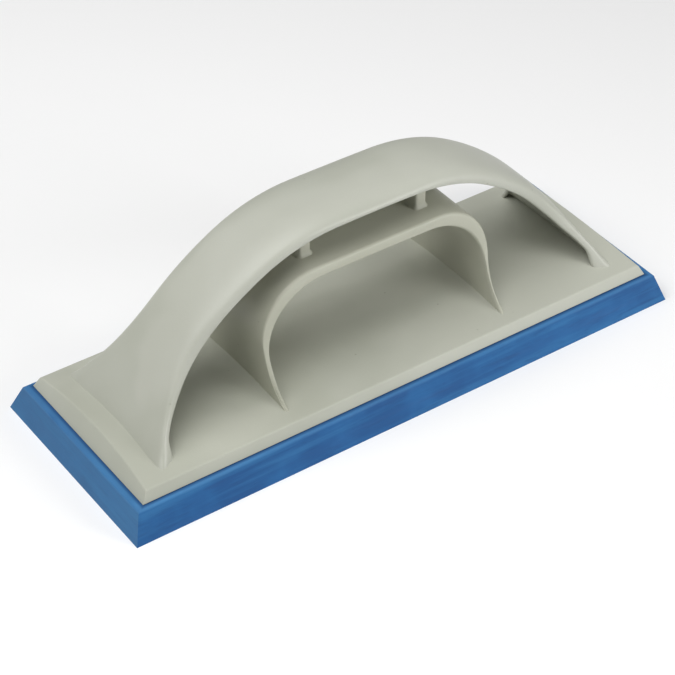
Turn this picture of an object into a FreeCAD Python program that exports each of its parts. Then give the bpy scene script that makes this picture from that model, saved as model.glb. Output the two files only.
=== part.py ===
import FreeCAD, Part
import math
import os
import Sketcher
from FreeCAD import Vector

# A grout float: a flat rubber pad bonded under a cambered plastic plate, with a
# wide arched grip over a lower finger bridge.
# Frame: X along the float, Y across it, Z up, origin at the middle of the pad's underside.

SIZES = [
    # name, value in mm, what it is
    ("pad_length", 245.0, "rubber pad, length at the working face"),
    ("pad_width", 90.0, "rubber pad, width at the working face"),
    ("pad_height", 11.4, "rubber pad, thickness"),
    ("pad_end_draft", 4.0, "how far each end face leans in over the pad's height"),
    ("pad_side_draft", 4.6, "how far each long face leans in over the pad's height"),
    ("pad_edge_round", 1.2, "rounding round the pad's upper edge"),
    ("glue_height", 0.3, "glue layer between pad and plate"),
    ("glue_margin", 1.6, "how far the glue stops short of the plate's edge"),
    ("plate_length", 231.0, "plate, length at its underside"),
    ("plate_width", 76.8, "plate, width at its underside"),
    ("plate_edge_height", 4.2, "plate, height of its long edges"),
    ("plate_camber", 2.6, "how far the plate's middle stands above its long edges"),
    ("plate_end_slope", 0.556, "lean of the plate's end faces, run over rise"),
    ("plate_side_slope", 0.42, "lean of the plate's long faces, run over rise"),
    ("plate_edge_round", 0.9, "rounding round the plate's upper edge"),
    ("core_pitch", 25.0, "spacing of the coring pockets along the plate"),
    ("core_length", 21.0, "one coring pocket, length"),
    ("core_width", 28.0, "one coring pocket, width"),
    ("core_offset", 17.5, "middle of each row of coring pockets from the centre line"),
    ("core_depth", 2.2, "depth of the coring pockets"),
    ("core_count", 6.0, "coring pockets in each row"),
    ("grip_rim_height", 76.6, "grip rim above the pad's underside at mid-length"),
    ("grip_crown_radius", 495.0, "grip rim, radius of its nearly flat middle"),
    ("grip_crown_angle", 2.1, "grip rim, slope where the middle ends, degrees"),
    ("grip_shoulder_radius", 69.4, "grip rim, radius of the shoulders"),
    ("grip_shoulder_angle", 30.0, "grip rim, slope where the shoulders end, degrees"),
    ("grip_leg_radius", 132.6, "grip rim, radius of the legs"),
    ("grip_leg_angle", 53.7, "grip rim, slope where the legs run straight, degrees"),
    ("grip_top_half_width", 16.1, "half the grip's width at mid-length"),
    ("grip_waist_half_width", 15.4, "half the grip's width at its waist"),
    ("grip_waist_place", 71.0, "waist from mid-length, along X"),
    ("grip_foot_half_width", 31.0, "half the grip's width at its feet"),
    ("grip_foot_place", 101.0, "place along X where the foot has that width"),
    ("grip_flare_power", 2.6, "how suddenly the legs flare into the feet"),
    ("grip_top_crown", 5.3, "height of the grip's back over its rims at mid-length"),
    ("grip_waist_crown", 5.7, "height of the grip's back over its rims at the waist"),
    ("grip_foot_crown", 3.0, "height of the grip's back over its rims at the feet"),
    ("grip_top_square", 2.1, "exponent of the grip's section at mid-length, 2 is an ellipse"),
    ("grip_waist_square", 3.9, "exponent of the grip's section at the waist"),
    ("grip_foot_square", 5.0, "exponent of the grip's section at the feet"),
    ("grip_wall", 2.8, "grip wall thickness"),
    ("grip_lip", 2.4, "thickness of the grip's lower rims"),
    ("grip_leg_swell", 1.0, "how far the legs thicken inwards"),
    ("grip_leg_swell_start", 58.0, "height where that begins"),
    ("grip_leg_swell_rise", 16.0, "height over which it builds up"),
    ("grip_ankle_slim", 0.7, "how much of it the ankles lose again"),
    ("grip_ankle_start", 36.0, "height where the ankles begin"),
    ("grip_ankle_rise", 10.0, "height over which they slim down"),
    ("grip_toe_swell", 3.9, "how far the toes thicken inwards where they stand"),
    ("grip_toe_start", 24.0, "height where the toes begin"),
    ("grip_toe_rise", 7.0, "height over which they swell"),
    ("bridge_height", 62.3, "top of the finger bridge above the pad's underside"),
    ("bridge_top_wall", 4.8, "thickness of the bridge across its top"),
    ("bridge_reach", 51.4, "outer face of each bridge leg from mid-length"),
    ("bridge_leg_wall", 2.1, "thickness of the bridge legs"),
    ("bridge_outer_radius", 24.0, "outer shoulder radius of the bridge"),
    ("bridge_inner_radius", 26.0, "inner shoulder radius of the bridge"),
    ("bridge_leg_toe_in", 0.9, "how far each bridge leg leans in at its foot"),
    ("bridge_half_depth", 16.0, "half the bridge's depth at its top"),
    ("bridge_thigh_share", 0.2, "how far down its legs keep that depth, as a share"),
    ("bridge_knee_half_depth", 18.6, "half the bridge's depth at its knees"),
    ("bridge_knee_share", 0.55, "how far down the knees are, as a share"),
    ("bridge_ankle_half_depth", 22.8, "half the bridge's depth at its ankles"),
    ("bridge_ankle_share", 0.8, "how far down the ankles are, as a share"),
    ("bridge_foot_half_depth", 32.1, "half the bridge's depth level with the plate's long edges"),
    ("bridge_root_half_depth", 36.1, "half the depth of the same curve carried into the plate"),
    ("bridge_spare", 1.0, "extra stock on the outlines, which the crossing outline trims"),
    ("post_place", 26.0, "posts from mid-length, along X"),
    ("post_length", 4.8, "one post, along X"),
    ("post_depth", 15.0, "one post, along Y"),
    ("post_foot_round", 2.0, "rounding where a post grows out of the bridge"),
]

doc = FreeCAD.newDocument("grout_float")
sheet = doc.addObject("Spreadsheet::Sheet", "Sizes")
for row, (name, value, meaning) in enumerate(SIZES, start=1):
    sheet.set("A%d" % row, meaning)
    sheet.set("B%d" % row, str(value))
    sheet.setAlias("B%d" % row, name)
doc.recompute()


def size(name):
    """A driving dimension, read back from the sheet."""
    return float(sheet.get(name))


def plate_floor():
    return size("pad_height") + size("glue_height")


def plate_edge_top():
    return plate_floor() + size("plate_edge_height")


def plate_crown():
    return plate_edge_top() + size("plate_camber")


# ---------------------------------------------------------------- sketch helpers

def origin_plane(body, role):
    return [item for item in body.Origin.OriginFeatures if item.Role == role][0]


def new_sketch(body, name, role, height=None):
    """A sketch on one of the body's own origin planes, lifted by an expression."""
    sketch = body.newObject("Sketcher::SketchObject", name)
    sketch.AttachmentSupport = [(origin_plane(body, role), "")]
    sketch.MapMode = "FlatFace"
    if height:
        sketch.setExpression(".AttachmentOffset.Base.z", height)
    return sketch


def add_rectangle(sketch, name, length, width, place_x="0", place_y="0"):
    """A rectangle whose length, width and middle are expressions."""
    first = sketch.GeometryCount
    corners = [Vector(-5, -5, 0), Vector(5, -5, 0), Vector(5, 5, 0), Vector(-5, 5, 0)]
    for start, end in zip(corners, corners[1:] + corners[:1]):
        sketch.addGeometry(Part.LineSegment(start, end), False)
    for side in range(4):
        following = first + (side + 1) % 4
        sketch.addConstraint(Sketcher.Constraint("Coincident", first + side, 2, following, 1))
    for side, direction in enumerate(("Horizontal", "Vertical", "Horizontal", "Vertical")):
        sketch.addConstraint(Sketcher.Constraint(direction, first + side))
    bound = [
        ("length", "DistanceX", (first, 1, first, 2), length),
        ("width", "DistanceY", (first + 1, 1, first + 1, 2), width),
        ("right", "DistanceX", (-1, 1, first, 2), "%s + (%s) / 2" % (place_x, length)),
        ("rear", "DistanceY", (-1, 1, first + 1, 2), "%s + (%s) / 2" % (place_y, width)),
    ]
    for label, kind, points, expression in bound:
        index = sketch.addConstraint(Sketcher.Constraint(kind, *points, 5.0))
        sketch.renameConstraint(index, name + "_" + label)
        sketch.setExpression(".Constraints.%s_%s" % (name, label), expression)
    return first


def add_frustum(body, name, floor, rise, bottom, top):
    """A block whose four sides lean in: bottom and top are (length, width) expressions."""
    wedge = body.newObject("PartDesign::AdditiveWedge", name)
    wedge.AttachmentSupport = [(origin_plane(body, "XZ_Plane"), "")]
    wedge.MapMode = "FlatFace"
    wedge.setExpression(".AttachmentOffset.Base.y", floor)
    wedge.setExpression("Ymin", "0")
    wedge.setExpression("Ymax", rise)
    for (length, width), lead in ((bottom, ""), (top, "2")):
        for axis, extent in (("X", length), ("Z", width)):
            wedge.setExpression(axis + lead + "min", "-(%s) / 2" % extent)
            wedge.setExpression(axis + lead + "max", "(%s) / 2" % extent)
    doc.recompute()
    return wedge


def edge_names(shape, test):
    return ["Edge%d" % number for number, edge in enumerate(shape.Edges, start=1) if test(edge)]


def box_of(edge):
    return edge.BoundBox


def round_edges(body, feature, name, radius, test):
    """A fillet on the feature's edges that pass the test."""
    fillet = body.newObject("PartDesign::Fillet", name)
    fillet.Base = (feature, edge_names(feature.Shape, test))
    fillet.setExpression("Radius", radius)
    doc.recompute()
    return fillet


# ---------------------------------------------------------------- pad and glue

def build_rubber_pad():
    """The blue sole: four leaning faces, sharp lower edges and a softened upper edge."""
    body = doc.addObject("PartDesign::Body", "rubber_pad")
    block = add_frustum(
        body, "pad_block", "0", "Sizes.pad_height",
        ("Sizes.pad_length", "Sizes.pad_width"),
        ("Sizes.pad_length - 2 * Sizes.pad_end_draft",
         "Sizes.pad_width - 2 * Sizes.pad_side_draft"))
    top = size("pad_height")
    round_edges(body, block, "pad_round", "Sizes.pad_edge_round",
                lambda edge: abs(box_of(edge).ZMin - top) < 0.01)
    return body


def build_adhesive_layer():
    """The thin bond between pad and plate, held back from the plate's edge."""
    slab = doc.addObject("Part::Box", "adhesive_layer")
    slab.setExpression("Length", "Sizes.plate_length - 2 * Sizes.glue_margin")
    slab.setExpression("Width", "Sizes.plate_width - 2 * Sizes.glue_margin")
    slab.setExpression("Height", "Sizes.glue_height")
    slab.setExpression("Placement.Base.x", "Sizes.glue_margin - Sizes.plate_length / 2")
    slab.setExpression("Placement.Base.y", "Sizes.glue_margin - Sizes.plate_width / 2")
    slab.setExpression("Placement.Base.z", "Sizes.pad_height")
    return slab


# ---------------------------------------------------------------- plate

def camber_radius():
    """Radius of the plate's crowned top, from its width and rise at mid-width."""
    half = size("plate_width") / 2 - size("plate_side_slope") * size("plate_edge_height")
    rise = size("plate_camber")
    return (half * half + rise * rise) / (2 * rise)


def camber_height(across):
    """Height of the plate's top surface at a distance from its centre line."""
    radius = camber_radius()
    return plate_crown() - radius + math.sqrt(radius * radius - across * across)


def cut_camber(body):
    """Everything above the crowned surface comes off the plate."""
    sketch = new_sketch(body, "camber_outline", "YZ_Plane")
    radius = camber_radius()
    middle = plate_crown() - radius
    lid = 2 * plate_crown()
    edge_angle = math.asin(size("plate_width") / 2 / radius)
    arc = Part.ArcOfCircle(
        Part.Circle(Vector(0, middle, 0), Vector(0, 0, 1), radius),
        math.pi / 2 - edge_angle, math.pi / 2 + edge_angle)
    right, left = arc.StartPoint, arc.EndPoint
    right_top = Vector(right.x, lid, 0)
    left_top = Vector(left.x, lid, 0)
    sketch.addGeometry(arc, False)
    sketch.addGeometry(Part.LineSegment(left, left_top), False)
    sketch.addGeometry(Part.LineSegment(left_top, right_top), False)
    sketch.addGeometry(Part.LineSegment(right_top, right), False)
    for first, first_end, second, second_end in (
            (0, 2, 1, 1), (1, 2, 2, 1), (2, 2, 3, 1), (3, 2, 0, 1)):
        sketch.addConstraint(
            Sketcher.Constraint("Coincident", first, first_end, second, second_end))
    sketch.addConstraint(Sketcher.Constraint("PointOnObject", 0, 3, -2))
    sketch.addConstraint(Sketcher.Constraint("Radius", 0, radius))
    sketch.addConstraint(Sketcher.Constraint("DistanceY", 0, 3, -1, 1, -middle))
    doc.recompute()
    pocket = body.newObject("PartDesign::Pocket", "camber_cut")
    pocket.Profile = sketch
    pocket.Type = "Length"
    pocket.Midplane = True
    pocket.setExpression("Length", "2 * Sizes.plate_length")
    doc.recompute()
    return pocket


def core_underside(body):
    """Two rows of pockets under the plate leave ribs below the legs and posts."""
    sketch = new_sketch(body, "core_outline", "XY_Plane", "Sizes.pad_height + Sizes.glue_height")
    first_place = "(1 - Sizes.core_count) / 2 * Sizes.core_pitch"
    for name, sign in (("front", "-"), ("rear", "")):
        add_rectangle(sketch, name, "Sizes.core_length", "Sizes.core_width",
                      first_place, sign + "Sizes.core_offset")
    pocket = body.newObject("PartDesign::Pocket", "core_pocket")
    pocket.Profile = sketch
    pocket.Type = "Length"
    pocket.Reversed = True
    pocket.setExpression("Length", "Sizes.core_depth")
    doc.recompute()
    pattern = body.newObject("PartDesign::LinearPattern", "core_row")
    pattern.Originals = [pocket]
    pattern.Direction = (origin_plane(body, "X_Axis"), [""])
    pattern.setExpression("Length", "(Sizes.core_count - 1) * Sizes.core_pitch")
    pattern.setExpression("Occurrences", "Sizes.core_count")
    body.Tip = pattern
    doc.recompute()
    return pattern


def build_base_plate():
    """The moulded plate: leaning sides, crowned top, cored underside."""
    body = doc.addObject("PartDesign::Body", "base_plate")
    rise = "(Sizes.plate_edge_height + 2 * Sizes.plate_camber)"
    floor = "Sizes.pad_height + Sizes.glue_height"
    add_frustum(
        body, "plate_block", floor, rise,
        ("Sizes.plate_length", "Sizes.plate_width"),
        ("Sizes.plate_length - 2 * Sizes.plate_end_slope * " + rise,
         "Sizes.plate_width - 2 * Sizes.plate_side_slope * " + rise))
    camber = cut_camber(body)
    low = plate_floor() + 1
    round_edges(body, camber, "plate_round", "Sizes.plate_edge_round",
                lambda edge: box_of(edge).ZMin > low and edge.Length > size("plate_width") / 2)
    core_underside(body)
    return body


def plate_envelope():
    """The room that the plate takes up, used to trim the feet that stand on it."""
    reach = size("plate_width")
    points = [Vector(0, side * reach / 2, camber_height(side * reach / 2)) for side in (-1, 1)]
    crown = Vector(0, 0, plate_crown())
    below = [Vector(0, side * reach / 2, 0) for side in (1, -1)]
    edges = [
        Part.Arc(points[0], crown, points[1]).toShape(),
        Part.LineSegment(points[1], below[0]).toShape(),
        Part.LineSegment(below[0], below[1]).toShape(),
        Part.LineSegment(below[1], points[0]).toShape(),
    ]
    face = Part.Face(Part.Wire(edges))
    face.translate(Vector(-size("plate_length") / 2, 0, 0))
    return face.extrude(Vector(size("plate_length"), 0, 0))


# ---------------------------------------------------------------- grip

def blend(value):
    """A smooth step from 0 to 1 with level ends."""
    value = min(max(value, 0.0), 1.0)
    return value * value * (3 - 2 * value)


def grip_rim(place):
    """Height and slope angle of the grip's rim at a place along X."""
    arcs = [
        (size("grip_crown_radius"), size("grip_crown_angle")),
        (size("grip_shoulder_radius"), size("grip_shoulder_angle")),
        (size("grip_leg_radius"), size("grip_leg_angle")),
    ]
    reach, height, start = 0.0, size("grip_rim_height"), 0.0
    for radius, degrees in arcs:
        end = math.radians(degrees)
        span = radius * (math.sin(end) - math.sin(start))
        if place <= reach + span:
            angle = math.asin(math.sin(start) + (place - reach) / radius)
            return height - radius * (math.cos(start) - math.cos(angle)), angle
        reach += span
        height -= radius * (math.cos(start) - math.cos(end))
        start = end
    return height - (place - reach) * math.tan(start), start


def grip_half_width(place):
    waist = size("grip_waist_place")
    if place < waist:
        share = blend(1 - place / waist)
        return size("grip_waist_half_width") + share * (
            size("grip_top_half_width") - size("grip_waist_half_width"))
    share = (place - waist) / (size("grip_foot_place") - waist)
    flare = size("grip_foot_half_width") - size("grip_waist_half_width")
    return size("grip_waist_half_width") + flare * share ** size("grip_flare_power")


def grip_crown(place):
    waist = size("grip_waist_place")
    if place < waist:
        share = blend(place / waist)
        return size("grip_top_crown") + share * (size("grip_waist_crown") - size("grip_top_crown"))
    share = blend((place - waist) / (size("grip_foot_place") - waist))
    return size("grip_waist_crown") + share * (size("grip_foot_crown") - size("grip_waist_crown"))


def grip_squareness(place):
    """Exponent of the section's curve: 2 is an ellipse, more is squarer."""
    waist = size("grip_waist_place")
    if place < waist:
        share = blend(place / waist)
        return size("grip_top_square") + share * (size("grip_waist_square") - size("grip_top_square"))
    share = blend((place - waist) / (size("grip_foot_place") - waist))
    return size("grip_waist_square") + share * (size("grip_foot_square") - size("grip_waist_square"))


def arch_curve(place_point, half_width, low, high, squareness):
    """A flattened half-ellipse from one rim to the other, as a smooth curve."""
    steps = 12
    points = []
    for step in range(steps + 1):
        turn = math.pi * step / steps
        across = math.copysign(abs(math.cos(turn)) ** (2 / squareness), math.cos(turn))
        up = math.sin(turn) ** (2 / squareness)
        points.append(place_point(across * half_width, low + (high - low) * up))
    curve = Part.BSplineCurve()
    curve.interpolate(Points=points, Parameters=[step / steps for step in range(steps + 1)])
    return curve


def rim_swell(height):
    """How far the legs thicken inwards: a little down their length, more at the toes."""
    leg = size("grip_leg_swell") * blend(
        (size("grip_leg_swell_start") - height) / size("grip_leg_swell_rise"))
    ankle = size("grip_ankle_slim") * blend(
        (size("grip_ankle_start") - height) / size("grip_ankle_rise"))
    toe = size("grip_toe_swell") * blend((size("grip_toe_start") - height) / size("grip_toe_rise"))
    return leg - ankle + toe


def grip_section(place):
    """Closed section of the grip at a signed place along X, square to the rim's path."""
    reach = abs(place)
    height, angle = grip_rim(reach)
    origin = Vector(place, 0, height)
    outward = Vector(math.copysign(math.sin(angle), place), 0, math.cos(angle))
    width = grip_half_width(reach)
    crown = grip_crown(reach)
    squareness = grip_squareness(reach)
    lip = size("grip_lip")
    base = lip / 4 - rim_swell(height)
    least_hollow = 0.1
    ceiling = max(crown - size("grip_wall"), base + least_hollow)

    def place_point(across, up):
        return origin + Vector(0, across, 0) + outward * up

    outer = arch_curve(place_point, width, base, crown, squareness)
    inner = arch_curve(place_point, width - lip, base, ceiling, squareness)
    rims = []
    for side, outer_end, inner_end in ((-1, outer.EndPoint, inner.EndPoint),
                                       (1, outer.StartPoint, inner.StartPoint)):
        bottom = place_point(side * (width - lip / 2), base - lip / 4)
        rims.append(Part.Arc(outer_end, bottom, inner_end).toShape())
    return Part.Wire([outer.toShape(), rims[0], inner.toShape(), rims[1]])


def grip_places():
    """Section places along X: closer together where the legs flare."""
    side = [12, 24, 36, 48, 60, 70, 79, 86, 92, 96.5, 100, 103.5]
    return [-place for place in reversed(side)] + [0] + side


def build_grip_shell():
    """The arched grip: a downward-open shell whose legs flare into broad flat feet."""
    sections = [grip_section(place) for place in grip_places()]
    solid, ruled, closed, most_degree = True, False, False, 5
    shell = Part.makeLoft(sections, solid, ruled, closed, most_degree)
    shell = shell.cut(plate_envelope())
    grip = doc.addObject("Part::Feature", "grip_shell")
    grip.Shape = shell.Solids[0]
    return grip


# ---------------------------------------------------------------- finger bridge

def bridge_arch():
    """Side outline of the bridge: slim legs, broad shoulders, a nearly level top."""
    outer_radius = size("bridge_outer_radius")
    inner_radius = size("bridge_inner_radius")
    reach = size("bridge_reach")
    inner_reach = reach - size("bridge_leg_wall")
    toe = size("bridge_leg_toe_in")
    top = size("bridge_height")
    ceiling = top - size("bridge_top_wall")
    floor = plate_floor()
    half_turn = math.sqrt(0.5)

    def corner(side, spread, level, radius):
        """Start, middle and end of a quarter-turn shoulder, from leg to top."""
        middle_x = spread - radius
        middle_z = level - radius
        return [
            Vector(side * spread, 0, middle_z),
            Vector(side * (middle_x + radius * half_turn), 0, middle_z + radius * half_turn),
            Vector(side * middle_x, 0, level),
        ]

    right_out = corner(1, reach, top, outer_radius)
    left_out = corner(-1, reach, top, outer_radius)
    right_in = corner(1, inner_reach, ceiling, inner_radius)
    left_in = corner(-1, inner_reach, ceiling, inner_radius)
    foot = {
        "right_out": Vector(reach - toe, 0, floor),
        "left_out": Vector(toe - reach, 0, floor),
        "right_in": Vector(inner_reach - toe / 2, 0, floor),
        "left_in": Vector(toe / 2 - inner_reach, 0, floor),
    }
    edges = [
        Part.LineSegment(foot["right_out"], right_out[0]),
        Part.Arc(*right_out),
        Part.LineSegment(right_out[2], left_out[2]),
        Part.Arc(*left_out[::-1]),
        Part.LineSegment(left_out[0], foot["left_out"]),
        Part.LineSegment(foot["left_out"], foot["left_in"]),
        Part.LineSegment(foot["left_in"], left_in[0]),
        Part.Arc(*left_in),
        Part.LineSegment(left_in[2], right_in[2]),
        Part.Arc(*right_in[::-1]),
        Part.LineSegment(right_in[0], foot["right_in"]),
        Part.LineSegment(foot["right_in"], foot["right_out"]),
    ]
    return Part.Face(Part.Wire([edge.toShape() for edge in edges]))


def bridge_end_view():
    """End outline of the bridge: narrow at the top, flaring into wide feet."""
    top = size("bridge_height")
    floor = plate_floor()
    rise = top - plate_edge_top()
    levels = [
        (size("bridge_half_depth"), top + size("bridge_spare")),
        (size("bridge_half_depth"), top - size("bridge_thigh_share") * rise),
        (size("bridge_knee_half_depth"), top - size("bridge_knee_share") * rise),
        (size("bridge_ankle_half_depth"), top - size("bridge_ankle_share") * rise),
        (size("bridge_foot_half_depth"), top - rise),
        (size("bridge_root_half_depth"), floor),
    ]
    sides = []
    for side in (1, -1):
        curve = Part.BSplineCurve()
        curve.interpolate([Vector(0, side * depth, height) for depth, height in levels])
        sides.append(curve)
    right, left = sides
    bottom = Part.LineSegment(right.EndPoint, left.EndPoint)
    lid = Part.LineSegment(left.StartPoint, right.StartPoint)
    return Part.Face(Part.Wire([right.toShape(), bottom.toShape(), left.toShape(), lid.toShape()]))


def build_finger_bridge(grip):
    """The inner arch under the grip, with two posts that reach up and carry the grip."""
    depth = 2 * (size("bridge_root_half_depth") + size("bridge_spare"))
    arch = bridge_arch()
    arch.translate(Vector(0, -depth / 2, 0))
    arch = arch.extrude(Vector(0, depth, 0))
    reach = size("bridge_reach") + size("bridge_spare")
    outline = bridge_end_view()
    outline.translate(Vector(-reach, 0, 0))
    bridge = arch.common(outline.extrude(Vector(2 * reach, 0, 0)))
    bridge = bridge.cut(plate_envelope())
    posts = [post_block(side, post_rise(grip)) for side in (-1, 1)]
    bridge = bridge.fuse(posts).removeSplitter()
    roots = [edge for edge in bridge.Edges if is_post_root(edge)]
    bridge = bridge.makeFillet(size("post_foot_round"), roots)
    feature = doc.addObject("Part::Feature", "finger_bridge")
    feature.Shape = bridge.Solids[0]
    return feature


def post_block(side, rise):
    """A post from just inside the bridge's top to a rise above it."""
    root = size("bridge_spare")
    corner = Vector(
        side * size("post_place") - size("post_length") / 2,
        -size("post_depth") / 2,
        size("bridge_height") - root)
    return Part.makeBox(size("post_length"), size("post_depth"), rise + root, corner)


def post_rise(grip):
    """How far a post stands up before it meets the underside of the grip."""
    tall = size("grip_rim_height") + size("grip_top_crown") - size("bridge_height")
    contact = post_block(1, tall).common(grip.Shape)
    lowest = min(point.z for point in contact.tessellate(0.05)[0])
    return lowest - size("bridge_height")


def is_post_root(edge):
    """Edges where a post's walls meet the nearly level top of the bridge."""
    box = edge.BoundBox
    slack = 0.1
    level = max(abs(box.ZMin - size("bridge_height")), abs(box.ZMax - size("bridge_height"))) < slack
    near = abs(abs(box.Center.x) - size("post_place")) < size("post_length") / 2 + slack
    within = max(abs(box.YMin), abs(box.YMax)) < size("post_depth") / 2 + slack
    return level and near and within


# ---------------------------------------------------------------- build and write

def check_document():
    """Stop if any object of the document is left in error."""
    for item in doc.Objects:
        if "Invalid" in item.State or "Error" in item.State:
            raise RuntimeError("%s is left %s" % (item.Label, item.State))


def write_parts(pieces):
    os.makedirs("parts", exist_ok=True)
    for piece in pieces:
        shape = piece.Shape
        if shape.isNull() or not shape.isValid() or not shape.Solids:
            raise RuntimeError("%s has no sound solid" % piece.Label)
        box = shape.BoundBox
        print("%-16s solids %d volume %9.1f  x %.1f..%.1f  y %.1f..%.1f  z %.1f..%.1f" % (
            piece.Label, len(shape.Solids), shape.Volume,
            box.XMin, box.XMax, box.YMin, box.YMax, box.ZMin, box.ZMax))
        shape.exportStep("parts/%s.step" % piece.Label)


rubber_pad = build_rubber_pad()
adhesive_layer = build_adhesive_layer()
base_plate = build_base_plate()
grip_shell = build_grip_shell()
finger_bridge = build_finger_bridge(grip_shell)
doc.recompute()
check_document()
write_parts([rubber_pad, adhesive_layer, base_plate, grip_shell, finger_bridge])
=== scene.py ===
import math

import bmesh
import bpy
from mathutils import Matrix, Vector


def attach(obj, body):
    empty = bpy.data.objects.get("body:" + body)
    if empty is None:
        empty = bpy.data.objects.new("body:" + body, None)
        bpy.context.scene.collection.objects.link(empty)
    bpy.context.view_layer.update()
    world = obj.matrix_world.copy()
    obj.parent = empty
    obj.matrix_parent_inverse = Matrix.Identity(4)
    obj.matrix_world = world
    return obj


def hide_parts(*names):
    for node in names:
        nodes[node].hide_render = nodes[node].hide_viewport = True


# A grout float in a plain studio. Metres; X along the float, Y across it, Z up,
# origin at the middle of the pad's underside.

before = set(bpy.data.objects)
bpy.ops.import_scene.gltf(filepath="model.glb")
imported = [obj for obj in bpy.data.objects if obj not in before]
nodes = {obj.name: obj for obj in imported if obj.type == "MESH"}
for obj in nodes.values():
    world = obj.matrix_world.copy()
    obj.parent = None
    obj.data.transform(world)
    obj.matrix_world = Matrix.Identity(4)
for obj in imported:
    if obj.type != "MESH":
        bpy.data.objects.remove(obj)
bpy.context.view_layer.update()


# ---------------------------------------------------------------- camera, light, floor

CAMERA_PLACE = (-0.3894, -0.5241, 0.5441)
CAMERA_AZIMUTH = math.radians(-36.23)
CAMERA_ELEVATION = math.radians(39.45)
CAMERA_ROLL = math.radians(1.148)
CAMERA_LENS = 118.03
CAMERA_SENSOR = 36.0
LIGHT_TARGET = (0.0, 0.0, 0.03)
FLOOR_REACH = 4.0


def make_camera():
    """A long lens from the float's front left, a little turned about its own axis."""
    camera_data = bpy.data.cameras.new("camera")
    camera_data.sensor_width = CAMERA_SENSOR
    camera_data.lens = CAMERA_LENS
    camera_data.clip_start = 0.05
    camera_data.clip_end = 20.0
    camera = bpy.data.objects.new("camera", camera_data)
    forward = Vector((
        -math.sin(CAMERA_AZIMUTH) * math.cos(CAMERA_ELEVATION),
        math.cos(CAMERA_AZIMUTH) * math.cos(CAMERA_ELEVATION),
        -math.sin(CAMERA_ELEVATION)))
    level = Vector((math.cos(CAMERA_AZIMUTH), math.sin(CAMERA_AZIMUTH), 0.0))
    upright = level.cross(forward)
    right = math.cos(CAMERA_ROLL) * level + math.sin(CAMERA_ROLL) * upright
    up = math.cos(CAMERA_ROLL) * upright - math.sin(CAMERA_ROLL) * level
    turn = Matrix((right, up, -forward)).transposed()
    camera.matrix_world = Matrix.Translation(CAMERA_PLACE) @ turn.to_4x4()
    bpy.context.scene.collection.objects.link(camera)
    bpy.context.scene.camera = camera


def add_area_light(name, place, size, power):
    """A round soft light that faces the float."""
    light_data = bpy.data.lights.new(name, "AREA")
    light_data.shape = "DISK"
    light_data.size = size
    light_data.energy = power
    light = bpy.data.objects.new(name, light_data)
    light.location = place
    aim = Vector(LIGHT_TARGET) - Vector(place)
    light.rotation_mode = "QUATERNION"
    light.rotation_quaternion = aim.to_track_quat("-Z", "Y")
    bpy.context.scene.collection.objects.link(light)


def make_lights():
    """Soft light from above and the left, a weak fill from the right, and a dim world."""
    add_area_light("key_light", (-0.38, 0.02, 0.95), size=1.2, power=12.2)
    add_area_light("fill_light", (0.60, -0.85, 0.36), size=0.6, power=6.4)
    world = bpy.data.worlds.new("studio")
    world.use_nodes = True
    background = world.node_tree.nodes["Background"]
    background.inputs["Color"].default_value = (1.0, 1.0, 0.995, 1.0)
    background.inputs["Strength"].default_value = 0.13
    scene = bpy.context.scene
    scene.world = world
    scene.view_settings.view_transform = "Standard"
    scene.view_settings.look = "None"


def make_floor():
    """A plain pale floor at the height of the pad's underside."""
    corners = [
        (-FLOOR_REACH, -FLOOR_REACH, 0.0), (FLOOR_REACH, -FLOOR_REACH, 0.0),
        (FLOOR_REACH, FLOOR_REACH, 0.0), (-FLOOR_REACH, FLOOR_REACH, 0.0)]
    mesh = bpy.data.meshes.new("studio_floor")
    mesh.from_pydata(corners, [], [(0, 1, 2, 3)])
    floor = bpy.data.objects.new("studio_floor", mesh)
    bpy.context.scene.collection.objects.link(floor)
    material = bpy.data.materials.new("pale_floor")
    material.use_nodes = True
    shader = material.node_tree.nodes["Principled BSDF"]
    shader.inputs["Base Color"].default_value = (0.92, 0.92, 0.92, 1.0)
    shader.inputs["Roughness"].default_value = 0.7
    mesh.materials.append(material)


# ---------------------------------------------------------------- material helpers

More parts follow.
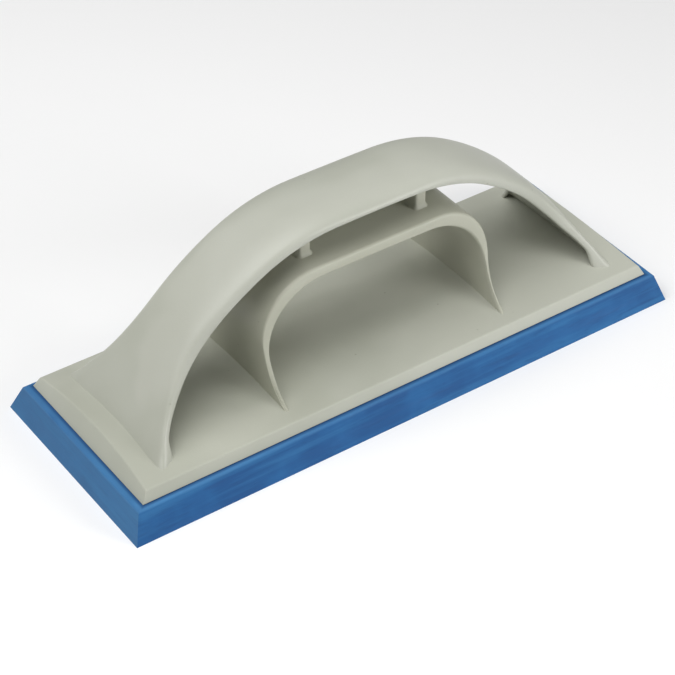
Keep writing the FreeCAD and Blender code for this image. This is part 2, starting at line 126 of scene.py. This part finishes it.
class Nodes:
    """Short calls for wiring one material's nodes."""

    def __init__(self, name):
        self.material = bpy.data.materials.new(name)
        self.material.use_nodes = True
        self.tree = self.material.node_tree
        self.shader = self.tree.nodes["Principled BSDF"]
        self.place = self.tree.nodes.new("ShaderNodeTexCoord").outputs["Object"]

    def new(self, kind, **inputs):
        """A node of this kind, with some of its inputs fed."""
        node = self.tree.nodes.new(kind)
        for name, value in inputs.items():
            self.feed(node.inputs[name.replace("_", " ")], value)
        return node

    def feed(self, socket, value):
        """Links a socket to another node's output, or sets it to a constant."""
        if isinstance(value, bpy.types.NodeSocket):
            self.tree.links.new(value, socket)
        else:
            socket.default_value = value

    def stretched(self, scale):
        """The object's coordinates, scaled differently along each axis."""
        mapping = self.new("ShaderNodeMapping", Vector=self.place)
        mapping.inputs["Scale"].default_value = scale
        return mapping.outputs["Vector"]

    def noise(self, scale, detail=2.0, roughness=0.5, stretch=None):
        """Cloudy noise from about 0 to 1, drawn out along an axis with a low stretch."""
        place = self.stretched(stretch) if stretch else self.place
        node = self.new("ShaderNodeTexNoise", Vector=place)
        node.inputs["Scale"].default_value = scale
        node.inputs["Detail"].default_value = detail
        node.inputs["Roughness"].default_value = roughness
        return node.outputs["Fac"]

    def remap(self, value, low, high, to_low=0.0, to_high=1.0):
        """A smooth ramp from one value to another between two thresholds."""
        node = self.new("ShaderNodeMapRange", Value=value)
        node.interpolation_type = "SMOOTHSTEP"
        node.inputs["From Min"].default_value = low
        node.inputs["From Max"].default_value = high
        node.inputs["To Min"].default_value = to_low
        node.inputs["To Max"].default_value = to_high
        return node.outputs["Result"]

    def mix(self, factor, first, second):
        """The first colour at factor 0, the second at factor 1."""
        node = self.new("ShaderNodeMix")
        node.data_type = "RGBA"
        self.feed(node.inputs["Factor"], factor)
        for socket, colour in (("A", first), ("B", second)):
            target = [item for item in node.inputs if item.name == socket and item.type == "RGBA"][0]
            self.feed(target, colour)
        return [item for item in node.outputs if item.type == "RGBA"][0]

    def combine(self, operation, *values):
        """One step of arithmetic on outputs or constants."""
        node = self.new("ShaderNodeMath")
        node.operation = operation
        for socket, value in zip(node.inputs, values):
            self.feed(socket, value)
        return node.outputs["Value"]

    def sum(self, first, second, share):
        """The first value with a share of the second added."""
        return self.combine("MULTIPLY_ADD", second, share, first)

    def parts(self, vector):
        """The X, Y and Z outputs of a vector."""
        return self.new("ShaderNodeSeparateXYZ", Vector=vector).outputs

    def bump(self, height, distance):
        node = self.new("ShaderNodeBump", Height=height)
        node.inputs["Distance"].default_value = distance
        self.feed(self.shader.inputs["Normal"], node.outputs["Normal"])

    def set(self, **inputs):
        for name, value in inputs.items():
            self.feed(self.shader.inputs[name.replace("_", " ")], value)


def rgb(red, green, blue):
    """A colour given as it looks on screen, 0 to 255, made linear."""
    linear = []
    for value in (red, green, blue):
        share = value / 255
        linear.append(share / 12.92 if share <= 0.04045 else ((share + 0.055) / 1.055) ** 2.4)
    return (*linear, 1.0)


# ---------------------------------------------------------------- materials

PLATE_HALF_LENGTH = 0.1155
PLATE_HALF_WIDTH = 0.0384
PAD_EDGE_LOW = 0.0109
PAD_EDGE_HIGH = 0.0121


def moulded_plastic(name, main, worn, dull, roughness):
    """Warm grey moulded plastic: faint mottling, fine grain, a few dark specks."""
    look = Nodes(name)
    clouds = look.remap(look.noise(14.0, 3.0, 0.55), 0.35, 0.65)
    flow = look.remap(look.noise(30.0, 2.0, 0.5, (0.35, 1.0, 1.0)), 0.4, 0.62)
    colour = look.mix(clouds, dull, main)
    colour = look.mix(look.remap(flow, 0.0, 1.0, 0.0, 0.35), colour, worn)
    cells = look.new("ShaderNodeTexVoronoi", Vector=look.place)
    cells.inputs["Scale"].default_value = 95.0
    specks = look.remap(cells.outputs["Distance"], 0.015, 0.05, 0.35, 0.0)
    colour = look.mix(specks, colour, rgb(112, 110, 96))
    grain = look.noise(1400.0, 2.0, 0.6)
    ripple = look.noise(120.0, 2.0, 0.5)
    uneven = look.sum(clouds, grain, 0.5)
    look.set(
        Base_Color=colour,
        Roughness=look.remap(uneven, 0.3, 1.2, roughness - 0.05, roughness + 0.07),
        Specular_IOR_Level=0.42,
        IOR=1.49)
    look.bump(look.sum(grain, ripple, 3.0), 0.00004)
    return look.material


def beyond_plate(look):
    """How far a point on the pad lies outside the plate's outline, in metres."""
    place = look.parts(look.place)
    past_end = look.combine("SUBTRACT", look.combine("ABSOLUTE", place["X"]), PLATE_HALF_LENGTH)
    past_side = look.combine("SUBTRACT", look.combine("ABSOLUTE", place["Y"]), PLATE_HALF_WIDTH)
    return look.combine("MAXIMUM", past_end, past_side)


def cut_rubber():
    """Dense blue rubber: fine cut streaks, a painted sheen on the ends, a painted highlight along the
    top edge, painted shade by the plate.
    """
    look = Nodes("blue_rubber")
    streaks = look.noise(260.0, 3.0, 0.6, (0.05, 0.05, 1.0))
    short = look.noise(700.0, 2.0, 0.6, (0.12, 0.12, 1.0))
    clouds = look.remap(look.noise(40.0, 3.0, 0.6), 0.35, 0.68)
    colour = look.mix(clouds, rgb(12, 76, 132), rgb(22, 90, 147))
    colour = look.mix(look.remap(streaks, 0.42, 0.68, 0.0, 0.5), colour, rgb(56, 116, 166))
    colour = look.mix(look.remap(short, 0.5, 0.72, 0.0, 0.35), colour, rgb(18, 66, 118))
    facing = look.parts(look.new("ShaderNodeNewGeometry").outputs["Normal"])
    along = look.combine("ABSOLUTE", facing["X"])
    # Painted sheen: faces that look along the pad's length are painted paler, standing in for light
    # glancing off the ends.
    end_sheen = look.remap(along, 0.5, 0.9, 0.0, 0.42)
    colour = look.mix(end_sheen, colour, rgb(78, 124, 160))
    # Painted highlight: the pad is painted paler from just under its top edge upwards, where the edge
    # would catch the light.
    height = look.sum(look.parts(look.place)["Z"], short, 0.0012)
    edge_highlight = look.remap(height, PAD_EDGE_LOW, PAD_EDGE_HIGH, 0.0, 0.4)
    colour = look.mix(edge_highlight, colour, rgb(82, 138, 184))
    shaded = look.remap(beyond_plate(look), 0.0002, 0.0017, 0.8, 0.0)
    colour = look.mix(shaded, colour, rgb(16, 62, 112))
    look.set(
        Base_Color=colour,
        Roughness=look.remap(streaks, 0.3, 0.7, 0.62, 0.8),
        Specular_IOR_Level=0.35)
    look.bump(look.sum(streaks, short, 0.6), 0.00018)
    return look.material


def cured_glue():
    """Dark glue with a blotchy skin."""
    look = Nodes("cured_glue")
    blotches = look.remap(look.noise(160.0, 3.0, 0.6), 0.35, 0.65)
    look.set(
        Base_Color=look.mix(blotches, rgb(52, 50, 44), rgb(88, 84, 72)),
        Roughness=look.remap(blotches, 0.0, 1.0, 0.5, 0.7))
    look.bump(look.noise(300.0, 2.0), 0.0001)
    return look.material


def paint(node, material):
    """Gives a CAD node a finer material, without touching its mesh."""
    mesh = nodes[node].data
    mesh.materials.clear()
    mesh.materials.append(material)


# ---------------------------------------------------------------- mesh helpers

MM = 0.001


def smoothstep(value):
    """A smooth step from 0 to 1 with level ends."""
    value = min(max(value, 0.0), 1.0)
    return value * value * (3 - 2 * value)


def skin_rings(mesh, rings):
    """Joins closed rings of the same number of points into a capped tube, in millimetres."""
    columns = [[mesh.verts.new(point * MM) for point in ring] for ring in rings]
    count = len(columns[0])
    for near, far in zip(columns, columns[1:]):
        for index in range(count):
            after = (index + 1) % count
            mesh.faces.new((near[index], near[after], far[after], far[index]))
    mesh.faces.new(columns[0][::-1])
    mesh.faces.new(columns[-1])


def finish_mesh(mesh, name, node, material):
    """Turns the mesh into a piece that stands for a CAD node."""
    bmesh.ops.recalc_face_normals(mesh, faces=mesh.faces)
    for face in mesh.faces:
        face.smooth = True
    data = bpy.data.meshes.new(name)
    mesh.to_mesh(data)
    mesh.free()
    data.materials.append(material)
    piece = bpy.data.objects.new(name, data)
    bpy.context.scene.collection.objects.link(piece)
    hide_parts(node)
    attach(piece, "root")


# ---------------------------------------------------------------- grip

# Millimetres, measured from mid-length outwards and from the pad's underside up.
GRIP_RIM_HEIGHT = 76.6
GRIP_ARCS = ((495.0, 2.1), (69.4, 30.0), (132.6, 53.7))  # radius, slope in degrees where it ends
GRIP_WAIST = 71.0
GRIP_FOOT = 101.0
GRIP_END = 103.5
GRIP_TOP_HALF_WIDTH = 16.1
GRIP_WAIST_HALF_WIDTH = 15.4
GRIP_FOOT_HALF_WIDTH = 31.0
GRIP_FLARE = 2.6
GRIP_WALL = 2.8
GRIP_LEAST_HOLLOW = 0.1
GRIP_LIP = 2.4
GRIP_LIP_GAIN = 0.3  # extra rounding of the rim for each millimetre of swell
GRIP_OUTER_STEPS = 56
GRIP_INNER_STEPS = 40

# At mid-length, at the waist and at the feet. Squareness 2 is an ellipse, more is squarer.
GRIP_CROWN = (5.28, 5.7, 3.0)
GRIP_SQUARENESS = (2.1, 3.9, 6.0)

# How much, the height where it begins, and the height over which it builds up.
GRIP_LEG_SWELL = (1.0, 58.0, 16.0)
GRIP_ANKLE_SLIM = (0.7, 36.0, 10.0)
GRIP_TOE_SWELL = (3.9, 24.0, 7.0)


def grip_rim(reach):
    """Height and slope angle of the grip's rim: three arcs, then a straight run."""
    start_x, height, start = 0.0, GRIP_RIM_HEIGHT, 0.0
    for radius, degrees in GRIP_ARCS:
        end = math.radians(degrees)
        span = radius * (math.sin(end) - math.sin(start))
        if reach <= start_x + span:
            angle = math.asin(math.sin(start) + (reach - start_x) / radius)
            return height - radius * (math.cos(start) - math.cos(angle)), angle
        start_x += span
        height -= radius * (math.cos(start) - math.cos(end))
        start = end
    return height - (reach - start_x) * math.tan(start), start


def along_grip(reach, top, waist, foot):
    """A size that eases from mid-length to the waist and on to the foot."""
    if reach < GRIP_WAIST:
        return top + (waist - top) * smoothstep(reach / GRIP_WAIST)
    share = smoothstep((reach - GRIP_WAIST) / (GRIP_FOOT - GRIP_WAIST))
    return waist + (foot - waist) * share


def grip_half_width(reach):
    """Even to the waist, then flaring ever faster into the foot."""
    if reach < GRIP_WAIST:
        return along_grip(reach, GRIP_TOP_HALF_WIDTH, GRIP_WAIST_HALF_WIDTH, GRIP_WAIST_HALF_WIDTH)
    share = (reach - GRIP_WAIST) / (GRIP_FOOT - GRIP_WAIST)
    return GRIP_WAIST_HALF_WIDTH + (GRIP_FOOT_HALF_WIDTH - GRIP_WAIST_HALF_WIDTH) * share ** GRIP_FLARE


def builds_below(height, amount, start, rise):
    """An amount that begins at one height and builds up below it."""
    return amount * smoothstep((start - height) / rise)


def rim_swell(height):
    """How far the legs thicken inwards: a little down their length, more at the toes."""
    leg = builds_below(height, *GRIP_LEG_SWELL)
    ankle = builds_below(height, *GRIP_ANKLE_SLIM)
    toe = builds_below(height, *GRIP_TOE_SWELL)
    return leg - ankle + toe


def grip_ring(place):
    """The grip's closed section: crowned back, rounded rims, hollow underside."""
    reach = abs(place)
    height, angle = grip_rim(reach)
    lean = math.copysign(math.sin(angle), place)
    half_width = grip_half_width(reach)
    crown = along_grip(reach, *GRIP_CROWN)
    squareness = along_grip(reach, *GRIP_SQUARENESS)
    swell = rim_swell(height)
    lip_round = GRIP_LIP / 4 + GRIP_LIP_GAIN * swell
    base = lip_round - swell
    ceiling = max(crown - GRIP_WALL, base + GRIP_LEAST_HOLLOW)

    def at(across, up):
        """A point of the section, which stands square to the rim's path."""
        return Vector((place + lean * up, across, height + math.cos(angle) * up))

    def arch(half, low, high, steps):
        """A flattened half-ellipse from one rim to the other."""
        points = []
        for step in range(steps + 1):
            turn = math.pi * step / steps
            across = math.copysign(abs(math.cos(turn)) ** (2 / squareness), math.cos(turn))
            up = math.sin(turn) ** (2 / squareness)
            points.append((across * half, low + (high - low) * up))
        return points

    def lip(side):
        """Half a turn round the rim, from its outer face to its inner face."""
        steps = 6
        middle = side * (half_width - GRIP_LIP / 2)
        points = []
        for step in range(1, steps):
            turn = math.pi * step / steps
            across = middle + side * GRIP_LIP / 2 * math.cos(turn)
            points.append((across, base - lip_round * math.sin(turn)))
        return points

    outer = arch(half_width, base, crown, GRIP_OUTER_STEPS)
    inner = arch(half_width - GRIP_LIP, base, ceiling, GRIP_INNER_STEPS)
    outline = outer + lip(-1) + inner[::-1] + lip(1)[::-1]
    return [at(across, up) for across, up in outline]


def make_grip(material):
    """The grip, with its sections closer together towards the feet."""
    steps = 150
    places = []
    for step in range(steps + 1):
        share = 2 * step / steps - 1
        places.append(GRIP_END * math.sin(share * math.pi / 2))
    mesh = bmesh.new()
    skin_rings(mesh, [grip_ring(place) for place in places])
    finish_mesh(mesh, "arched_grip", "grip_shell", material)


# ---------------------------------------------------------------- finger bridge

# Millimetres, as for the grip.
BRIDGE_TOP = 62.3
BRIDGE_TOP_WALL = 4.8
BRIDGE_REACH = 51.4
BRIDGE_LEG_WALL = 2.1
BRIDGE_OUTER_RADIUS = 24.0
BRIDGE_INNER_RADIUS = 26.0
BRIDGE_TOE_IN = 0.9
BRIDGE_HALF_DEPTH = 16.0
BRIDGE_FLARE = 16.1
BRIDGE_FLARE_HEIGHT = 10.8
BRIDGE_ROUND = 1.3
BRIDGE_MOST_ROUND = 0.46  # of the wall
PLATE_EDGE = 15.9
SUNK_IN_PLATE = 1.0

POST_PLACE = 26.0
POST_HALF_LENGTH = 2.4
POST_HALF_DEPTH = 7.5
POST_TOP = 77.3
POST_SUNK = 0.4
POST_CORNER = 0.9
POST_FLARE = 2.0
POST_FLARE_HEIGHT = 3.0


def bridge_half_depth(height):
    """The bridge's legs flare towards the plate ever faster."""
    return BRIDGE_HALF_DEPTH + BRIDGE_FLARE * math.exp((PLATE_EDGE - height) / BRIDGE_FLARE_HEIGHT)


def bridge_side(reach, level, radius, toe_in, floor):
    """One half of a side outline, from the foot up and over to mid-length."""
    shoulder_z = level - radius
    shoulder_x = reach - radius
    leg_steps, turn_steps, top_steps = 30, 22, 10
    points = []
    for step in range(leg_steps):
        share = step / leg_steps
        points.append((reach - toe_in * (1 - share), floor + (shoulder_z - floor) * share))
    for step in range(turn_steps):
        turn = math.pi / 2 * step / turn_steps
        points.append((shoulder_x + radius * math.cos(turn), shoulder_z + radius * math.sin(turn)))
    for step in range(top_steps + 1):
        points.append((shoulder_x * (1 - step / top_steps), level))
    return points


def bridge_ring(outer, inner, corner):
    """A rounded rectangle between an outer and an inner point of the side outline."""
    out_point = Vector((outer[0], 0.0, outer[1]))
    in_point = Vector((inner[0], 0.0, inner[1]))
    through = in_point - out_point
    wall = through.length
    through.normalize()
    round_steps = 5
    ring = []
    corners = ((1, 0.0), (1, 1.0), (-1, 1.0), (-1, 0.0))  # side along Y, 0 outside or 1 inside
    for quarter, (side, deep) in enumerate(corners):
        depth = bridge_half_depth((out_point + through * wall * deep).z)
        centre_y = side * (depth - corner)
        centre_in = corner if deep == 0.0 else wall - corner
        for step in range(round_steps + 1):
            turn = math.pi / 2 * (quarter + step / round_steps)
            inward = centre_in - corner * math.cos(turn)
            across = centre_y + corner * math.sin(turn)
            ring.append(out_point + through * inward + Vector((0.0, across, 0.0)))
    return ring


def post_ring(side, height):
    """A rounded rectangle across a post, wider close to the bridge."""
    rise = min((height - BRIDGE_TOP + POST_SUNK) / POST_FLARE_HEIGHT, 1.0)
    spread = POST_FLARE * (1 - math.sqrt(1 - (1 - rise) ** 2))
    corner = POST_CORNER + spread
    corner_steps = 5
    ring = []
    for quarter, (side_x, side_y) in enumerate(((1, 1), (-1, 1), (-1, -1), (1, -1))):
        centre_x = side * POST_PLACE + side_x * (POST_HALF_LENGTH + spread - corner)
        centre_y = side_y * (POST_HALF_DEPTH + spread - corner)
        for step in range(corner_steps + 1):
            turn = math.pi / 2 * (quarter + step / corner_steps)
            ring.append(Vector((
                centre_x + corner * math.cos(turn),
                centre_y + corner * math.sin(turn),
                height)))
    return ring


def add_post(mesh, side):
    """A post from the bridge up into the grip, with its rings closest at its root."""
    levels = 16
    root = BRIDGE_TOP - POST_SUNK
    heights = [root + (POST_TOP - root) * (level / levels) ** 2 for level in range(levels + 1)]
    skin_rings(mesh, [post_ring(side, height) for height in heights])


def mirror(point):
    """The same point of a side outline on the other side of mid-length."""
    return (-point[0], point[1])


def make_bridge(material):
    """The arch from foot to foot, and its two posts."""
    floor = PLATE_EDGE - SUNK_IN_PLATE
    outer = bridge_side(BRIDGE_REACH, BRIDGE_TOP, BRIDGE_OUTER_RADIUS, BRIDGE_TOE_IN, floor)
    inner = bridge_side(
        BRIDGE_REACH - BRIDGE_LEG_WALL, BRIDGE_TOP - BRIDGE_TOP_WALL,
        BRIDGE_INNER_RADIUS, BRIDGE_TOE_IN / 2, floor)
    outer += [mirror(point) for point in outer[-2::-1]]
    inner += [mirror(point) for point in inner[-2::-1]]
    rings = []
    for out_point, in_point in zip(outer, inner):
        corner = min(BRIDGE_ROUND, BRIDGE_MOST_ROUND * math.dist(out_point, in_point))
        rings.append(bridge_ring(out_point, in_point, corner))
    mesh = bmesh.new()
    skin_rings(mesh, rings)
    for side in (-1, 1):
        add_post(mesh, side)
    finish_mesh(mesh, "finger_arch", "finger_bridge", material)


# ---------------------------------------------------------------- the scene

make_camera()
make_lights()
make_floor()
paint("rubber_pad", cut_rubber())
paint("adhesive_layer", cured_glue())
paint("base_plate", moulded_plastic(
    "plate_plastic", rgb(176, 178, 166), rgb(188, 189, 177), rgb(169, 171, 158), 0.5))
make_grip(moulded_plastic(
    "grip_plastic", rgb(177, 179, 168), rgb(190, 191, 181), rgb(171, 173, 161), 0.4))
make_bridge(moulded_plastic(
    "bridge_plastic", rgb(178, 179, 164), rgb(190, 190, 176), rgb(171, 172, 156), 0.45))
